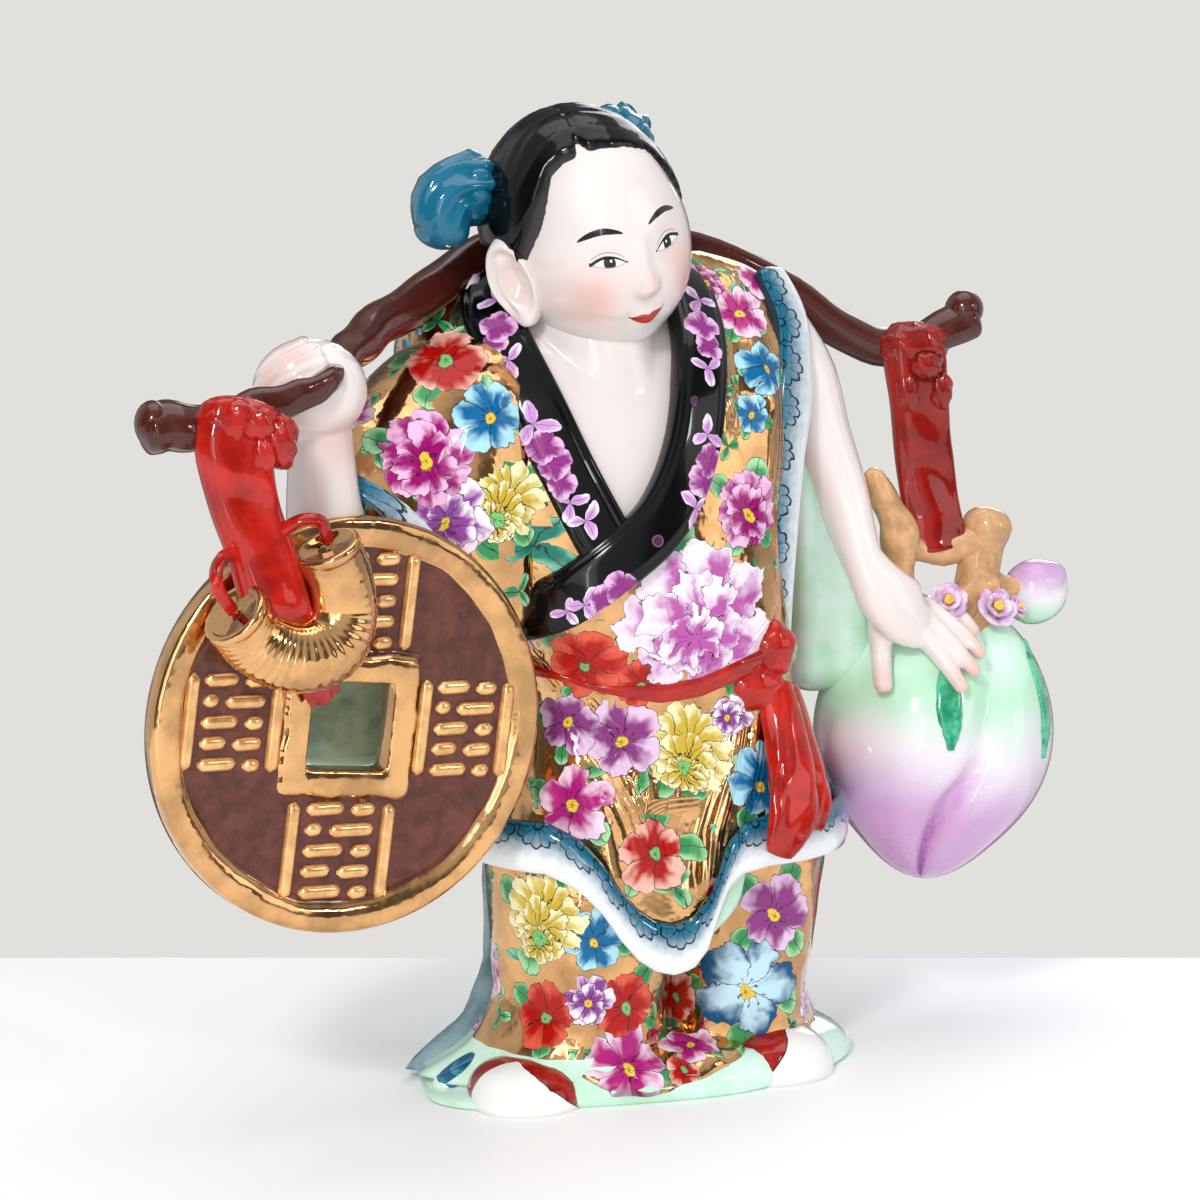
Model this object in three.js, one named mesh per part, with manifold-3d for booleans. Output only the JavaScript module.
// A glazed porcelain figure of a child in a flowered robe. The child carries a knotty pole across
// the shoulders. A large coin and a scroll ingot hang in front of the right hand, and a peach on a
// forked twig hangs under the left hand, which rests on it. Everything is luted together and fired
// as one piece, so the whole figure is one solid.
import * as THREE from "three";
import { SimplifyModifier } from "three/addons/modifiers/SimplifyModifier.js";
import { mergeVertices } from "three/addons/utils/BufferGeometryUtils.js";
import Module from "manifold-3d";

const wasm = await Module();
wasm.setup();

// Sizes are in millimetres. X runs to the child's left, Y to its back and Z up, from the floor
// under the middle of the feet.
const FRONT = new THREE.Vector3(0, -1, 0);
const UP = new THREE.Vector3(0, 0, 1);
const TRIANGLES = 9800;

// Robe rows: height, middle x, middle y, half width, half depth.
const ROBE = [
  [67, 5, -4, 56, 44],
  [78, 6, -4, 54, 42],
  [94, 6, -4, 49, 39],
  [113, 5, -4, 42, 35],
  [128, 3, -4, 43, 38],
  [145, -3, -4, 47, 41],
  [165, -8, -3, 52, 40],
  [185, -11, -1, 58, 38],
  [205, -11, 2, 60, 34],
  [220, -9, 6, 61, 27],
  [230, -8, 8, 57, 20],
  [238, -7, 9, 47, 14],
  [243, -8, 10, 33, 9],
];
const ROBE_SIDES = 64;
const ROBE_STEPS = 34;
const HEM = { fade: 46, roll: 11, proud: 3 };
// The front hem's lower edge, in x and z.
const HEM_LINE = [
  [-70, 69], [-50, 70], [-39, 70], [-31, 65], [-24, 57], [-18, 48], [-11, 44], [-3, 44],
  [4, 50], [9, 61], [20, 68], [39, 68], [70, 69],
];
const SQUARE = 0.86;

// Soft ridges in the cloth of the robe's front, each from one point to another in x and z.
const FOLDS = [
  { from: [-36, 116], to: [-22, 66], high: 2.8, wide: 4.6 },
  { from: [25, 109], to: [2, 62], high: 3, wide: 4.6 },
  { from: [-14, 97], to: [8, 99], high: -2, wide: 6 },
  { from: [-44, 152], to: [-20, 124], high: 2.2, wide: 4.5 },
  { from: [-40, 184], to: [-26, 162], high: 2.2, wide: 4.5 },
  { from: [36, 216], to: [30, 176], high: 1.8, wide: 5 },
];
// The open neck lies lower than the cloth. Its two sides, in x and z, follow the collar.
const NECK_LEFT = [[-23, 162], [-26, 171], [-32, 181], [-37, 194], [-41, 206], [-45, 219], [-47, 232]];
const NECK_RIGHT = [[-18, 162], [-7, 171], [1, 183], [5, 193], [8, 204], [10, 213], [13, 232]];
const NECK_DROP = 3.5;
const BACK_FOLDS = { count: 5, deep: 2.2 };

// Trouser legs: height, middle x, middle y, half width, half depth.
const RIGHT_LEG = [
  [4, -27, -10, 34, 32],
  [11, -24, -12, 28, 31],
  [24, -21, -12, 26, 31],
  [46, -20, -12, 27, 32],
  [72, -18, -9, 30, 32],
  [96, -16, -8, 24, 26],
];
const LEFT_LEG = [
  [4, 30, -4, 34, 33],
  [11, 28, -5, 28, 31],
  [24, 26.5, -6, 25.5, 30],
  [46, 29, -6, 27, 31],
  [72, 28, -5, 30, 32],
  [96, 24, -5, 24, 26],
];
// The seam between the legs, filled from behind.
const SEAM = [
  [2, 3, 2, 14, 22],
  [50, 4, 2, 14, 22],
  [90, 4, 2, 14, 22],
];
// The robe's back panel hangs to the base and props the figure: same columns.
const TRAIN = [
  [3, -4, 20, 55, 22],
  [12, -2, 22, 44, 21],
  [32, 0, 24, 38, 18],
  [60, 1, 22, 40, 17],
  [92, 2, 16, 38, 14],
];

// The base's outline on the floor, in x and y, and how it rises and draws in.
const BASE_OUTLINE = [
  [-70, -12], [-62, -36], [-34, -46], [6, -50], [30, -45], [56, -30],
  [66, -10], [58, 26], [30, 43], [-22, 45], [-56, 28],
];
const BASE_RISE = [[0, 1], [5, 1], [10, 0.9]];

const SHOES = [
  { middle: [-46, -33, 0], half: [16, 18, 16], point: -6 },
  { middle: [38, -25, 0], half: [15.5, 19, 16], point: 10 },
];

// The head's own frame has its face towards -Y. It is turned, nodded and tilted about its middle.
const HEAD = { middle: [-17, -13, 251], half: [27.5, 30, 36], turn: 16, nod: 8, tilt: -16 };
const HAIR = { half: [28, 32, 35], middle: [-1.5, 2.5, 3], line: 18 };
const NECK = [
  [-17, -8, 230, 19, 18],
  [-14, -10, 214, 17, 18],
  [-12, -12, 198, 20, 18],
  [-12, -10, 180, 18, 16],
];
const EAR = { side: 28.5, back: 1, height: -5, long: 14, wide: 7.5, thick: 3.4 };
const BUN = { side: 28, back: 18, rise: 20, size: 8.5 };
// How each bun hangs over, from its knot outwards: the right one first.
const BUN_FALLS = [
  [[3, 0, 0], [-8, 0, 0], [-12, -1, -8]],
  [[0, 0, -1], [1, 6, -4], [0, 9, -12]],
];

// The arms' rows: x, y, z and two half thicknesses.
const LEFT_ARM = [
  [46, 6, 220, 11, 12],
  [57, 6, 205, 11, 12],
  [61, 4, 188, 10.5, 12],
  [63, 0, 170, 9, 10.5],
  [66, -10, 152, 7.5, 8.5],
  [71, -19, 140, 8.5, 7],
];
const RIGHT_FOREARM = [
  [-98, -26, 150, 14, 13],
  [-103, -33, 168, 13, 12],
  [-107, -38, 184, 11, 11],
  [-107, -42, 197, 10, 10],
  [-106, -44, 206, 12, 11],
];
const RIGHT_SLEEVE = [
  [-42, 0, 205, 24, 26],
  [-60, -6, 195, 26, 26],
  [-76, -14, 182, 26, 25],
  [-89, -20, 168, 24, 24],
];
// The cloth under the right arm, between the sleeve and the body.
const RIGHT_DRAPE = [
  [-50, -8, 202, 20, 24],
  [-57, -14, 178, 23, 25],
  [-55, -16, 146, 20, 22],
];
const SLEEVE_CUFF = { proud: 2, long: 8 };
const RIGHT_LINING = [
  [-84, -12, 170, 20, 12],
  [-86, -8, 140, 25, 10],
  [-82, -3, 104, 22, 9],
];
const LEFT_LINING = [
  [52, 13, 210, 9, 14],
  [59, 15, 180, 13, 16],
  [65, 14, 140, 17, 17],
  [65, 13, 117, 16, 15],
];
// The blue front edge of the left sleeve, from the shoulder to the sash.
const LEFT_TRIM = [
  [44, 2, 235, 6, 4],
  [47, -5, 222, 7, 5],
  [45, -13, 203, 7, 6],
  [40, -19, 184, 6.5, 6],
  [37, -23, 164, 6.5, 6],
  [35.5, -24, 144, 6, 5],
  [37, -21, 124, 5, 4],
];

// Collar bands: x, y, z, half width and half thickness.
const COLLAR_UNDER = {
  back: [[-34, 16, 243, 7, 3], [-45, 4, 237, 8, 3.4]],
  front: [[-47, 228], [-44.5, 217], [-40, 203], [-34, 187], [-27, 172], [-22, 162]],
};
const COLLAR_OVER = {
  back: [[17, 16, 243, 8, 3], [15, 1, 239, 8, 3.4]],
  front: [
    [13, 222], [9, 207], [5, 193], [-1, 180], [-9, 169], [-22, 159], [-35, 149], [-45, 143],
  ],
};
const COLLAR = { wide: 8.4, thick: 3.4 };

// The sash round the waist, its knot and its tails: x, y, z, half width and half thickness.
const SASH = { height: 113, dip: 3, wide: 3, thick: 3, proud: 1.4 };
const KNOT = [
  { at: [31, -35, 130], half: [7, 6, 8.5] },
  { at: [25, -36, 119], half: [9, 6, 8] },
];
const TAILS = [
  [
    [31, -35, 118, 5, 5],
    [31, -38, 102, 7.5, 4.4],
    [31, -41, 86, 8.5, 3.6],
    [25, -45, 71, 5, 2.6],
  ],
  [
    [34, -33, 116, 5, 5],
    [39, -35, 100, 7, 4],
    [42, -37, 86, 7, 3.2],
    [45, -37, 75, 4, 2.4],
  ],
];

// The pole: x, y, z and two half thicknesses.
const POLE = [
  [-161, -62, 206, 6.5, 6.5],
  [-155, -62, 207, 7, 7],
  [-143, -61, 206, 5.8, 5.8],
  [-126, -57, 210, 5.4, 5.4],
  [-108, -51, 215, 5.6, 5.6],
  [-96, -34, 222, 5.8, 5.8],
  [-84, -20, 227, 6.2, 6.2],
  [-64, -2, 233.5, 6.4, 6.4],
  [-43, 12, 243, 6, 6],
  [-8, 22, 247, 5.6, 5.6],
  [29, 25, 242, 5.6, 5.6],
  [59, 22, 228, 6, 6],
  [77, 17, 215, 6, 6],
  [93, 13, 211, 6, 6],
  [104, 12, 214.5, 6, 6],
  [114, 12, 219, 6.8, 6.8],
];
const POLE_KNOBS = [
  { at: [-160, -62, 208], half: [5, 6, 6.5] },
  { at: [113, 12, 222], half: [6, 6, 6] },
];

// The coin hangs with its face to the front. Its inner sizes are half widths of the square.
const COIN = {
  middle: [-102.5, -46, 119], radius: 59, thick: 9, turn: 8, roll: 7,
  rim: 8, rise: 2, hole: 12.5, border: 20,
};
// Each sign is a few bars: x, y, length and tilt in degrees. They stand for writing and are none.
const SIGN = [[-7, 0, 22, 84], [5, 8, 15, 10], [4, 0, 13, -8], [5, -8, 15, 12]];
const SIGN_BAR = { wide: 2.8, rise: 1.6, out: 35.5 };

const INGOT = [
  [-143, -72, 156, 9, 8],
  [-137, -75, 149, 9.5, 9],
  [-125, -77, 145, 10, 9.5],
  [-113, -75, 149, 10, 9.5],
  [-106, -69, 158, 9, 9],
  [-109, -65, 169, 9.5, 8.5],
];
const RIBBON_LEFT = [
  [-138, -66, 212, 9, 4],
  [-139, -69, 202, 10.5, 4.5],
  [-137, -70, 188, 9.5, 4],
  [-133, -71, 174, 9, 4],
  [-129, -72, 158, 9, 4.5],
  [-126, -70, 148, 8, 4],
];
const RIBBON_LEFT_END = [
  [-123, -68, 152, 5, 4],
  [-117, -61, 141, 6, 3],
  [-111, -55, 129, 4.5, 2],
];
const CORDS = [
  [[-140, -70, 171, 1.8, 1.8], [-147, -74, 173, 2, 2], [-148, -77, 166, 2, 2], [-143, -75, 157, 1.8, 1.8]],
  [[-128, -72, 178, 1.8, 1.8], [-122, -74, 179, 2, 2], [-116, -71, 176, 2, 2], [-111, -66, 171, 1.8, 1.8]],
];
const RIBBON_RIGHT = [
  [94, 9, 215, 9, 4],
  [95, 7, 206, 10.5, 5],
  [96.5, 7, 194, 9.5, 4.5],
  [98.5, 7, 178, 8.5, 4],
  [100.5, 6, 163, 8.5, 4],
  [103, 4, 148, 8.5, 4.5],
];
const BOWS = [
  { at: [-138, -66, 208], half: [11, 7, 7] },
  { at: [-127, -69, 204], half: [5.5, 5, 7] },
  { at: [95, 9, 212], half: [11, 7.5, 7] },
  { at: [96, 2, 204], half: [6, 4, 4] },
];

// The peach hangs with its stem up. Its tip points down and a little forward.
const PEACH = {
  middle: [100, 4, 93], half: [38.5, 35, 39], lean: [-0.22, -0.3, -1],
  tip: 0.18, tipSpread: 0.45, shoulder: 0.06, crease: 0.1, creaseSpread: 0.3, creaseAt: 8,
};
const TWIGS = [
  [[91, 3, 126, 7, 7], [89, 4, 142, 5.5, 5.5], [89, 4, 155, 7, 7], [85, 4, 164, 5, 5], [80, 4, 173, 4, 4]],
  [[113, 2, 124, 9, 8], [114.5, 3, 140, 6.5, 6.5], [117, 4, 150, 6.5, 6.5], [118.5, 4, 156, 8, 8]],
  [[88, 4, 152, 5, 5], [103, 4, 149, 4.5, 4.5], [117, 4, 152, 6, 6]],
  [[115, 0, 139, 6, 6], [106, -2, 132, 5.5, 5], [99, -3, 126, 5, 5]],
  [[115, 2, 138, 5, 5], [129, 5, 135, 4, 4]],
];
const SMALL_PEACH = { middle: [136, 6, 134], half: [10, 10, 10], lean: [0.8, 0, 0.6] };
// Low leaves on the peach, each a row of places round it and down it in degrees, and a half width.
const LEAVES = [
  [[-72, 34, 1], [-78, 50, 5], [-84, 66, 6], [-92, 84, 1]],
  [[-40, 28, 1], [-30, 46, 4.5], [-24, 66, 6], [-22, 88, 5], [-24, 108, 1]],
  [[100, 26, 1], [92, 46, 7], [88, 66, 8], [86, 90, 1]],
];
const BLOSSOMS = [
  { at: [98, -7, 132], out: [-0.1, -0.8, 0.6], size: 6.5 },
  { at: [111, -6, 131], out: [0.2, -0.8, 0.6], size: 6.5 },
  { at: [119, -6, 127.5], out: [0.5, -0.7, 0.5], size: 3.8 },
];

// The left hand lies on the peach. The right hand closes round the pole.
const LEFT_PALM = [
  [73, -17, 144, 9, 7],
  [77, -24, 136, 12, 6.5],
  [81, -28, 129, 12, 5],
];
const LEFT_FINGERS = [
  [[70, -21, 134, 4.6, 4.6], [67, -29, 124, 4.2, 4.2], [68, -32, 115, 3.2, 3.2]],
  [[78, -29, 129, 4.6, 4.4], [87, -34, 119, 4, 3.8], [93, -35, 111, 3, 3]],
  [[83, -27, 130, 4.4, 4.2], [93, -31, 123, 3.9, 3.6], [101, -32, 115, 3, 3]],
  [[86, -23, 133, 4.2, 4], [96, -27, 127, 3.7, 3.5], [105, -27, 120, 2.8, 2.8]],
  [[87, -18, 136, 3.8, 3.6], [96, -21, 132, 3.3, 3.3], [103, -21, 127, 2.6, 2.6]],
];
const RIGHT_PALM = { at: [-107, -44, 211], half: [15, 13, 14] };
const RIGHT_HOLLOW = { at: [-109, -53, 209], half: [9, 6, 9] };
const RIGHT_FINGERS = [0, 1, 2, 3].map((k) => [
  [-100 + 1.5 * k, -38 - 5 * k, 225 - 2.5 * k, 4.2, 4.2],
  [-112 + 0.5 * k, -46 - 4.5 * k, 222.5 - 3.5 * k, 4.4, 4.4],
  [-120 + 1.5 * k, -49 - 2 * k, 213 - 2.5 * k, 3.6, 3.6],
]);
const RIGHT_THUMB = [
  [-95, -42, 213, 5.5, 5.5],
  [-96, -51, 210, 5.5, 5.5],
  [-103, -57, 206, 5, 5],
  [-112, -59, 204, 4, 4],
];

// Values between rows of numbers, on a curve that passes through every row.
function glide(rows, t) {
  const last = rows.length - 1;
  const i = Math.min(Math.max(Math.floor(t), 0), last - 1);
  const f = t - i;
  const row = (k) => rows[Math.min(Math.max(k, 0), last)];
  return rows[0].map((_, c) => {
    const [a, b, d, e] = [row(i - 1)[c], row(i)[c], row(i + 1)[c], row(i + 2)[c]];
    return b + 0.5 * f * (d - a + f * (2 * a - 5 * b + 4 * d - e + f * (3 * (b - d) + e - a)));
  });
}

const bulge = (distance, spread) => Math.exp(-((distance / spread) ** 2));
const rounded = (v, power) => Math.sign(v) * Math.abs(v) ** power;

// A closed skin over rings of equal length. The ends close on the rings' middles.
function skin(rings, loop = false) {
  const sides = rings[0].length;
  const points = rings.flat();
  const faces = [];
  const last = loop ? rings.length : rings.length - 1;
  for (let i = 0; i < last; i++) {
    for (let k = 0; k < sides; k++) {
      const [a, b] = [i * sides + k, i * sides + ((k + 1) % sides)];
      const [c, d] = [a, b].map((v) => (v + sides) % points.length);
      faces.push(a, b, d, a, d, c);
    }
  }
  if (!loop) {
    const ends = [rings[0], rings.at(-1)];
    ends.forEach((ring, end) => {
      const middle = ring.reduce((sum, p) => sum.add(p), new THREE.Vector3()).divideScalar(sides);
      const start = end ? (rings.length - 1) * sides : 0;
      points.push(middle);
      for (let k = 0; k < sides; k++) {
        const [a, b] = [start + k, start + ((k + 1) % sides)];
        faces.push(...(end ? [a, b, points.length - 1] : [b, a, points.length - 1]));
      }
    });
  }
  const positions = points.flatMap((p) => p.toArray());
  const made = new THREE.BufferGeometry();
  made.setAttribute("position", new THREE.Float32BufferAttribute(positions, 3));
  return made.setIndex(faces);
}

// A solid from a closed geometry, turned face out if need be.
function solid(geometry) {
  const bare = geometry.clone();
  ["normal", "uv"].forEach((name) => bare.deleteAttribute(name));
  const merged = mergeVertices(bare, 1e-4);
  const vertProperties = new Float32Array(merged.attributes.position.array);
  const triVerts = new Uint32Array(merged.index.array);
  const build = () => new wasm.Manifold(new wasm.Mesh({ numProp: 3, vertProperties, triVerts }));
  const made = build();
  if (made.volume() > 0) return made;
  for (let i = 0; i < triVerts.length; i += 3) {
    [triVerts[i + 1], triVerts[i + 2]] = [triVerts[i + 2], triVerts[i + 1]];
  }
  return build();
}

// A limb, band or branch along rows of x, y, z and two half thicknesses. The second one is
// measured towards face, which may be a direction or a rule that gives one at a point.
function limb(rows, { face = FRONT, sides = 12, steps = 4, square = 1, ends = [0.8, 0.8] } = {}) {
  const count = (rows.length - 1) * steps;
  const rings = [];
  const ring = (t, grow, out) => {
    const [x, y, z, wide, thick] = glide(rows, t);
    const centre = new THREE.Vector3(x, y, z);
    const ahead = new THREE.Vector3(...glide(rows, t + 0.01));
    const behind = new THREE.Vector3(...glide(rows, t - 0.01));
    const along = ahead.sub(behind).normalize();
    const facing = typeof face === "function" ? face(centre) : face.clone();
    const through = facing.addScaledVector(along, -facing.dot(along)).normalize();
    const across = new THREE.Vector3().crossVectors(along, through);
    centre.addScaledVector(along, out * Math.min(wide, thick));
    return Array.from({ length: sides }, (_, k) => {
      const turn = (2 * Math.PI * k) / sides;
      return centre
        .clone()
        .addScaledVector(across, grow * wide * rounded(Math.cos(turn), square))
        .addScaledVector(through, grow * thick * rounded(Math.sin(turn), square));
    });
  };
  if (ends[0]) rings.push(ring(0, 0.35, -0.9 * ends[0]), ring(0, 0.8, -0.6 * ends[0]));
  for (let i = 0; i <= count; i++) rings.push(ring(i / steps, 1, 0));
  if (ends[1]) {
    rings.push(ring(rows.length - 1, 0.8, 0.6 * ends[1]), ring(rows.length - 1, 0.35, 0.9 * ends[1]));
  }
  return solid(skin(rings));
}

// A rounded form about a middle. Shape gives the reach for a direction, and place turns it.
function ball({ middle, half, sides = 14, rows = 9, shape = () => 1, place = new THREE.Quaternion() }) {
  const centre = new THREE.Vector3(...middle);
  const point = (turn, rise) => {
    const way = new THREE.Vector3(Math.cos(turn) * Math.sin(rise), Math.sin(turn) * Math.sin(rise), Math.cos(rise));
    const reach = shape(way);
    return way.multiply(new THREE.Vector3(...half)).multiplyScalar(reach).applyQuaternion(place).add(centre);
  };
  const rings = [];
  for (let i = 0; i <= rows; i++) {
    const rise = Math.PI * (i === 0 ? 0.02 : i === rows ? 0.98 : i / rows);
    rings.push(Array.from({ length: sides }, (_, k) => point((2 * Math.PI * k) / sides, rise)));
  }
  return solid(skin(rings));
}

const knob = ({ at, half }) => ball({ middle: at, half });

const join = (solids) => solids.reduce((whole, next) => whole.add(next));

// How far a soft ridge lifts the cloth at x and z.
function foldLift(x, z) {
  let lift = 0;
  for (const { from, to, high, wide } of FOLDS) {
    const run = [to[0] - from[0], to[1] - from[1]];
    const length2 = run[0] ** 2 + run[1] ** 2;
    const share = ((x - from[0]) * run[0] + (z - from[1]) * run[1]) / length2;
    const held = Math.min(Math.max(share, 0), 1);
    const off = Math.hypot(x - from[0] - held * run[0], z - from[1] - held * run[1]);
    lift += high * bulge(off, wide);
  }
  return lift;
}

// Values along a line of points, between which they run straight.
function along(line, at, key = 0, value = 1) {
  const next = line.findIndex((point) => point[key] > at);
  if (next < 0) return line.at(-1)[value];
  if (next === 0) return line[0][value];
  const [a, b] = [line[next - 1], line[next]];
  return a[value] + ((b[value] - a[value]) * (at - a[key])) / (b[key] - a[key]);
}

// How far the open neck sinks below the cloth at x and z.
function neckDrop(x, z) {
  if (z < NECK_LEFT[0][1]) return 0;
  const [left, right] = [NECK_LEFT, NECK_RIGHT].map((side) => along(side, z, 1, 0));
  return x > left && x < right ? NECK_DROP : 0;
}

// A point on the robe at a turn round the body, a height along its rows, and a lift off it.
function robePoint(turn, t, lift = 0, rise = 0) {
  const [height, x, y, wide, deep] = glide(ROBE, t);
  const [c, s] = [Math.cos(turn), Math.sin(turn)];
  const [px, py] = [x + wide * rounded(c, SQUARE), y + deep * rounded(s, SQUARE)];
  const front = s < 0 ? Math.sqrt(-s) : 0;
  const low = Math.max(0, 1 - (height - ROBE[0][0]) / HEM.fade);
  const z = height + rise - front * low * (ROBE[0][0] - along(HEM_LINE, px));
  const back = s > 0 ? BACK_FOLDS.deep * s * Math.cos(2 * BACK_FOLDS.count * turn) * (0.3 + 0.7 * low) : 0;
  const out = lift + front * (foldLift(px, z) - neckDrop(px, z)) + back;
  const away = new THREE.Vector2(c / wide, s / deep).normalize();
  return new THREE.Vector3(px + away.x * out, py + away.y * out, z);
}

const robeRing = (t, lift = 0, rise = 0, sides = ROBE_SIDES) =>
  Array.from({ length: sides }, (_, k) => {
    const turn = (2 * Math.PI * k) / sides;
    return robePoint(turn - 0.35 * Math.cos(turn), t, lift, rise);
  });

// The way out of the robe at a point in space, for bands that lie on the cloth.
function offRobe(point) {
  const near = ROBE.findIndex(([height]) => height > point.z);
  const [, x, y, wide, deep] = ROBE[near < 0 ? ROBE.length - 1 : near];
  return new THREE.Vector3((point.x - x) / wide ** 2, (point.y - y) / deep ** 2, 0.004).normalize();
}

function robe() {
  const { roll, proud } = HEM;
  const rings = [robeRing(0, -12, 9), robeRing(0, -1, 1), robeRing(0, proud * 0.7, 0)];
  rings.push(robeRing(0, proud, roll * 0.3), robeRing(0, proud * 0.9, roll * 0.75));
  const top = ROBE.length - 1;
  const start = 1.05;
  for (let i = 0; i <= ROBE_STEPS; i++) rings.push(robeRing(start + ((top - start) * i) / ROBE_STEPS));
  return solid(skin(rings));
}

// A column of cloth over rows of height, middle and half sizes.
function column(rows, { sides = 30, steps = 3, crease = 0 } = {}) {
  const count = (rows.length - 1) * steps;
  const rings = [];
  for (let i = 0; i <= count; i++) {
    const [z, x, y, wide, deep] = glide(rows, i / steps);
    rings.push(
      Array.from({ length: sides }, (_, k) => {
        const turn = (2 * Math.PI * k) / sides;
        const ripple = 1 + crease * Math.cos(6 * turn) * (1 + 30 / (z + 8));
        return new THREE.Vector3(x + wide * ripple * Math.cos(turn), y + deep * ripple * Math.sin(turn), z);
      }),
    );
  }
  return solid(skin(rings));
}

function base() {
  const outline = new THREE.CatmullRomCurve3(
    BASE_OUTLINE.map(([x, y]) => new THREE.Vector3(x, y, 0)), true, "centripetal",
  ).getPoints(40).slice(0, -1);
  return solid(skin(BASE_RISE.map(([z, share]) =>
    outline.map((p) => new THREE.Vector3(p.x * share, p.y * share, z)))));
}

// A shoe is the top half of a rounded form, cut flat on the floor.
function shoe({ middle, half, point }) {
  const place = new THREE.Quaternion().setFromAxisAngle(UP, THREE.MathUtils.degToRad(point));
  const whole = ball({ middle, half, sides: 20, rows: 12, place });
  const floor = new THREE.BoxGeometry(60, 60, 40).translate(middle[0], middle[1], -20);
  return whole.subtract(solid(floor));
}

const headPlace = new THREE.Quaternion().setFromEuler(
  new THREE.Euler(...[HEAD.nod, HEAD.tilt, HEAD.turn].map(THREE.MathUtils.degToRad), "ZYX"),
);
const onHead = (x, y, z) =>
  new THREE.Vector3(x, y, z).applyQuaternion(headPlace).add(new THREE.Vector3(...HEAD.middle));

// A calm child's face on plain proportions: full cheeks, a small chin and shallow eye hollows.
function faceReach(way) {
  const front = Math.max(0, -way.y);
  const side = Math.abs(way.x);
  const near = (x, z, spread) => bulge(Math.hypot(side - x, way.z - z), spread) * front;
  const cheeks = 0.06 * near(0.48, -0.36, 0.3);
  const chin = 0.05 * near(0, -0.86, 0.25);
  const eyes = -0.045 * near(0.36, -0.02, 0.16);
  const brow = 0.02 * near(0.3, 0.2, 0.2);
  const temples = -0.06 * bulge(way.z - 0.4, 0.3) * side;
  const jaw = -0.05 * bulge(way.z + 0.9, 0.3) * (1 - front);
  return 1 + cheeks + chin + eyes + brow + temples + jaw;
}

function head() {
  const skull = ball({ ...HEAD, sides: 36, rows: 24, shape: faceReach, place: headPlace });
  const cap = ball({
    middle: onHead(...HAIR.middle).toArray(),
    half: HAIR.half, sides: 32, rows: 20, place: headPlace,
  });
  const visor = new THREE.BoxGeometry(80, 60, 80).translate(0, -30 - 12, -40 + HAIR.line);
  const nape = new THREE.BoxGeometry(90, 90, 40).translate(0, 0, -20 - 14);
  const placed = (shape) => shape.applyQuaternion(headPlace).translate(...HEAD.middle);
  const hair = cap.subtract(solid(placed(visor))).subtract(solid(placed(nape)));
  const carried = (rows) => rows.map(([x, y, z, ...half]) => [...onHead(x, y, z), ...half]);
  const nose = [[0, -28.5, 1, 2, 2], [0, -30, -5, 2.6, 2.6], [0, -30.3, -10, 4.4, 3.6]];
  const lips = [[-6.5, -24.6, -19, 1.6, 1.6], [0, -27, -20.5, 2.2, 2.2], [6.5, -24.6, -19, 1.6, 1.6]];
  const features = [nose, lips].map((rows) => limb(carried(rows), { sides: 8 }));
  const buns = BUN_FALLS.flatMap((falls, i) => {
    const side = i ? 1 : -1;
    const { side: reach, back: y, rise: z, size } = BUN;
    const wrap = [
      [side * reach * 0.4, y - 5, z - 9, size + 1, size + 1],
      [side * reach, y, z, size + 1, size + 1.5],
    ];
    const fall = falls.map(([a, b, c], k) =>
      [side * reach + a, y + b, z + c, size + 1 - 1.5 * (k > 1), size + 1 - 0.5 * (k > 1)]);
    return [wrap, fall].map((rows) => limb(carried(rows)));
  });
  const ears = [-1, 1].map((side) => {
    const { side: reach, back, height, long, wide, thick } = EAR;
    const rows = [
      [side * (reach - 1), back, height + long * 0.75, wide * 0.75, thick],
      [side * (reach + 1.5), back + 1, height + 3, wide, thick],
      [side * (reach - 0.5), back - 2, height - long * 0.8, wide * 0.6, thick],
    ];
    const out = new THREE.Vector3(0.8 * side, -0.6, 0).applyQuaternion(headPlace);
    return limb(carried(rows), { face: out });
  });
  return join([skull, hair, ...features, ...buns, ...ears, limb(NECK, { sides: 20 })]);
}

// The sash lies on the waist as a band that dips at the front.
function sash() {
  const steps = 40;
  const t = ROBE.findIndex(([height]) => height === SASH.height);
  const rings = Array.from({ length: steps }, (_, i) => {
    const turn = (2 * Math.PI * i) / steps;
    const centre = robePoint(turn, t, SASH.proud - SASH.thick * 0.5, SASH.dip * Math.sin(turn));
    const out = new THREE.Vector3(Math.cos(turn), Math.sin(turn), 0);
    return [[-1, -1], [-1, 1], [1, 1], [1, -1]].map(([u, v]) =>
      centre.clone().addScaledVector(UP, u * SASH.wide).addScaledVector(out, v * SASH.thick * 0.5));
  });
  return solid(skin(rings, true));
}

const knotAndTails = () => join([
  ...KNOT.map(knob),
  ...TAILS.map((rows) => limb(rows, { face: offRobe, square: 0.8, ends: [0.4, 0.4] })),
]);

function sleeves() {
  const [cuff] = RIGHT_SLEEVE.slice(-1);
  const trim = [RIGHT_SLEEVE.at(-2), cuff].map((row, i) => {
    const share = i ? 0 : SLEEVE_CUFF.long / 20;
    const mixed = cuff.map((v, k) => v + (row[k] - v) * share);
    return [...mixed.slice(0, 3), cuff[3] + SLEEVE_CUFF.proud, cuff[4] + SLEEVE_CUFF.proud];
  });
  return join([
    limb(RIGHT_SLEEVE, { sides: 24, ends: [0.5, 0.15] }),
    limb(trim, { sides: 24, steps: 1, ends: [0.1, 0.1] }),
    limb(RIGHT_DRAPE, { sides: 20 }),
    limb(RIGHT_LINING, { sides: 16 }),
    limb(LEFT_LINING, { sides: 18 }),
    limb(LEFT_TRIM, { face: new THREE.Vector3(0.5, -1, 0), square: 0.8 }),
  ]);
}

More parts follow.
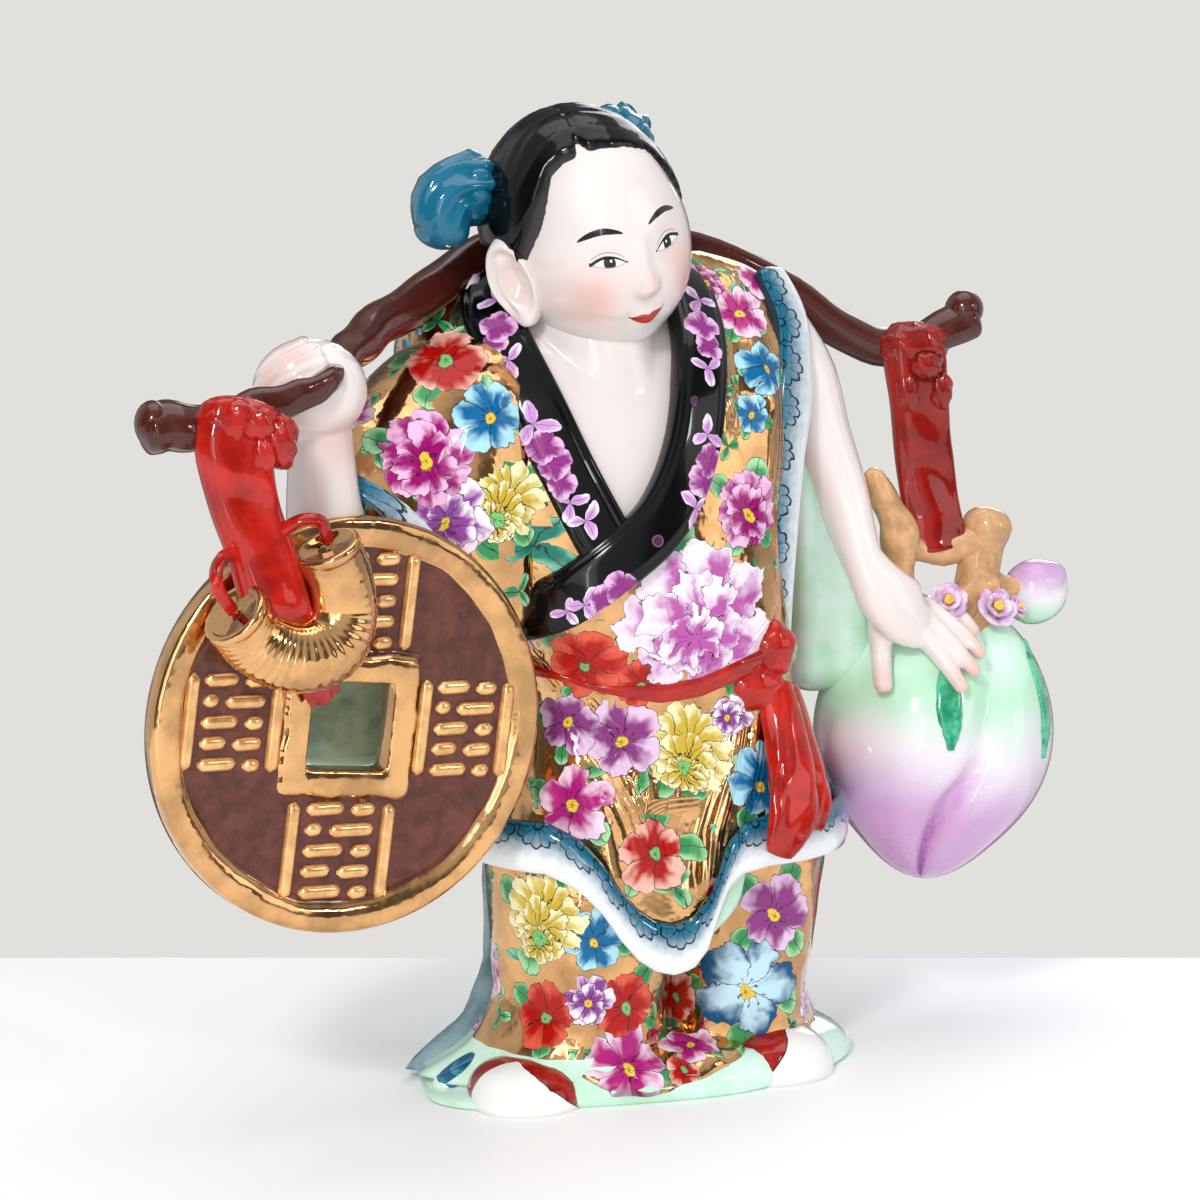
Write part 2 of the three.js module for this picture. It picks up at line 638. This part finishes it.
// The depth of the cloth's front at x and z.
function clothFront(x, z) {
  let [low, high] = [0, ROBE.length - 1];
  while (high - low > 1e-3) {
    const t = (low + high) / 2;
    if (glide(ROBE, t)[0] < z) low = t;
    else high = t;
  }
  const [, middle, y, wide, deep] = glide(ROBE, low);
  const c = Math.min(1, (Math.abs(x - middle) / wide) ** (1 / SQUARE));
  return y - deep * (1 - c * c) ** (SQUARE / 2);
}

const collars = () => join([COLLAR_UNDER, COLLAR_OVER].map(({ back, front }, over) => {
  const rows = front.map(([x, z]) => [x, clothFront(x, z) - over, z, COLLAR.wide, COLLAR.thick + over]);
  return limb([...back, ...rows], { face: offRobe, square: 0.7, ends: [0, over ? 0 : 0.3] });
}));

function arms() {
  const fingers = [...LEFT_FINGERS, ...RIGHT_FINGERS, RIGHT_THUMB];
  return join([
    limb(LEFT_ARM, { sides: 16 }),
    limb(RIGHT_FOREARM, { sides: 16 }),
    limb(LEFT_PALM, { face: new THREE.Vector3(-0.3, -0.8, 0.6) }),
    ball({ middle: RIGHT_PALM.at, half: RIGHT_PALM.half, sides: 18, rows: 12 }),
    knob(RIGHT_HOLLOW),
    ...fingers.map((rows) => limb(rows, { sides: 9, steps: 3, face: new THREE.Vector3(0.3, -0.5, 0.8) })),
  ]);
}

const pole = () => join([
  limb(POLE, { face: UP, ends: [0.5, 0.5] }),
  ...POLE_KNOBS.map(knob),
]);

// The coin is made flat, face up, and then stood up with its face to the front.
function coin() {
  const { radius, thick, rim, rise, hole, border } = COIN;
  const profile = [
    [0, 0], [radius - 1.5, 0], [radius, 1.5], [radius, thick - 1], [radius - 1, thick],
    [radius - rim, thick], [radius - rim - 0.5, thick - rise], [0, thick - rise],
  ].map(([r, z]) => new THREE.Vector2(r, z));
  const disc = new THREE.LatheGeometry(profile, 60).rotateX(Math.PI / 2);
  const frame = new THREE.BoxGeometry(2 * border, 2 * border, thick).translate(0, 0, thick / 2);
  const bore = new THREE.BoxGeometry(2 * hole, 2 * hole, 4 * thick);
  const bars = [0, 1, 2, 3].flatMap((quarter) => SIGN.map(([x, y, length, tilt]) => {
    const bar = new THREE.BoxGeometry(length, SIGN_BAR.wide, SIGN_BAR.rise + 1);
    return bar
      .rotateZ(THREE.MathUtils.degToRad(tilt))
      .translate(x, y, 0)
      .rotateZ((-quarter * Math.PI) / 2)
      .translate(
        SIGN_BAR.out * Math.sin((quarter * Math.PI) / 2),
        SIGN_BAR.out * Math.cos((quarter * Math.PI) / 2),
        thick - rise + (SIGN_BAR.rise - 1) / 2,
      );
  }));
  const stand = (shape) => shape
    .rotateZ(THREE.MathUtils.degToRad(-COIN.roll))
    .rotateX(Math.PI / 2)
    .translate(0, thick / 2, 0)
    .rotateZ(THREE.MathUtils.degToRad(COIN.turn))
    .translate(...COIN.middle);
  return join([disc, frame, ...bars].map((shape) => solid(stand(shape)))).subtract(solid(stand(bore)));
}

function hangings() {
  const flat = { square: 0.75 };
  return join([
    limb(RIBBON_LEFT, flat),
    limb(RIBBON_LEFT_END, flat),
    limb(RIBBON_RIGHT, flat),
    limb(INGOT, { sides: 18, ends: [0.1, 0.1], face: new THREE.Vector3(0, -0.9, 0.4) }),
    ...CORDS.map((rows) => limb(rows, { sides: 7 })),
    ...BOWS.map(knob),
  ]);
}

// The reach of a peach with its tip down the local -Z and its crease at one turn round it.
function peachReach(way) {
  const polar = Math.acos(-way.z);
  const round = Math.atan2(way.y, way.x) + Math.PI / 2 - THREE.MathUtils.degToRad(PEACH.creaseAt);
  const crease = PEACH.crease * bulge(Math.sin(round / 2) * 2, PEACH.creaseSpread) * Math.sin(polar) ** 0.5;
  return 1 + PEACH.tip * bulge(polar, PEACH.tipSpread) - crease
    + PEACH.shoulder * bulge(Math.PI - polar - 0.5, 0.4);
}

function peaches() {
  const leaning = (lean) => new THREE.Quaternion().setFromUnitVectors(
    new THREE.Vector3(0, 0, -1), new THREE.Vector3(...lean).normalize(),
  );
  const place = leaning(PEACH.lean);
  const middle = new THREE.Vector3(...PEACH.middle);
  const large = ball({ ...PEACH, sides: 40, rows: 26, shape: peachReach, place });
  const small = ball({
    ...SMALL_PEACH, sides: 16, rows: 11, shape: peachReach, place: leaning(SMALL_PEACH.lean),
  });
  const offPeach = (p) => p.clone().sub(middle).normalize();
  const leaves = LEAVES.map((spots) => spots.map(([round, down, wide]) => {
    const way = new THREE.Vector3().setFromSphericalCoords(1, ...[down, round].map(THREE.MathUtils.degToRad));
    const local = new THREE.Vector3(way.z, way.x, way.y);
    const spot = local.clone().multiply(new THREE.Vector3(...PEACH.half)).multiplyScalar(peachReach(local));
    return [...spot.applyQuaternion(place).add(middle), wide, 1];
  }));
  return join([
    large,
    small,
    ...TWIGS.map((rows) => limb(rows)),
    ...leaves.map((rows) => limb(rows, { sides: 8, face: offPeach, ends: [0, 0] })),
    ...BLOSSOMS.map(blossom),
  ]);
}

// A small applied flower: five petals round a button.
function blossom({ at, out, size }) {
  const place = new THREE.Quaternion().setFromUnitVectors(UP, new THREE.Vector3(...out).normalize());
  const petals = (way) => 0.8 + 0.2 * Math.cos(5 * Math.atan2(way.y, way.x));
  const half = [1, 1, 0.5].map((v) => v * size);
  const flower = ball({ middle: at, half, sides: 20, rows: 5, shape: petals, place });
  const button = ball({ middle: at, half: half.map((v, i) => (i < 2 ? 0.3 : 1.5) * v), sides: 8, rows: 5, place });
  return flower.add(button);
}

// The largest skin alone, whose triangles all hang together by their edges.
function outer(geometry) {
  const index = geometry.index.array;
  const byEdge = new Map();
  const edge = (a, b) => (a < b ? `${a} ${b}` : `${b} ${a}`);
  const edges = (i) => [0, 1, 2].map((k) => edge(index[3 * i + k], index[3 * i + ((k + 1) % 3)]));
  const count = index.length / 3;
  for (let i = 0; i < count; i++) {
    for (const key of edges(i)) byEdge.set(key, [...(byEdge.get(key) ?? []), i]);
  }
  const seen = new Array(count).fill(false);
  let most = [];
  for (let first = 0; first < count; first++) {
    if (seen[first]) continue;
    const group = [first];
    seen[first] = true;
    for (let n = 0; n < group.length; n++) {
      for (const next of edges(group[n]).flatMap((key) => byEdge.get(key))) {
        if (seen[next]) continue;
        seen[next] = true;
        group.push(next);
      }
    }
    if (group.length > most.length) most = group;
  }
  const kept = geometry.clone();
  return kept.setIndex(most.flatMap((i) => [0, 1, 2].map((k) => index[3 * i + k])));
}

const whole = join([
  base(),
  ...SHOES.map(shoe),
  column(RIGHT_LEG, { crease: 0.012 }),
  column(LEFT_LEG, { crease: 0.012 }),
  column(TRAIN, { crease: 0.012 }),
  column(SEAM, { sides: 12 }),
  robe(), collars(), sash(), knotAndTails(), sleeves(), head(), arms(), pole(), coin(), hangings(), peaches(),
]);
const { vertProperties, triVerts } = whole.getMesh();
const full = new THREE.BufferGeometry();
full.setAttribute("position", new THREE.BufferAttribute(vertProperties, 3));
full.setIndex(new THREE.BufferAttribute(triVerts, 1));
const surplus = full.attributes.position.count - TRIANGLES / 2;
const shape = outer(await new SimplifyModifier().modify(full, surplus));

const glaze = new THREE.MeshStandardMaterial({ color: 0xece6df, roughness: 0.12, metalness: 0 });
const piece = new THREE.Mesh(shape, glaze);
piece.name = "porcelain_figure";

// The origin is the bottom middle of the figure's box.
const figure = new THREE.Group();
figure.add(piece);
const box = new THREE.Box3().setFromObject(figure);
const centre = box.getCenter(new THREE.Vector3());
piece.position.set(-centre.x, -centre.y, -box.min.z);

export default figure;
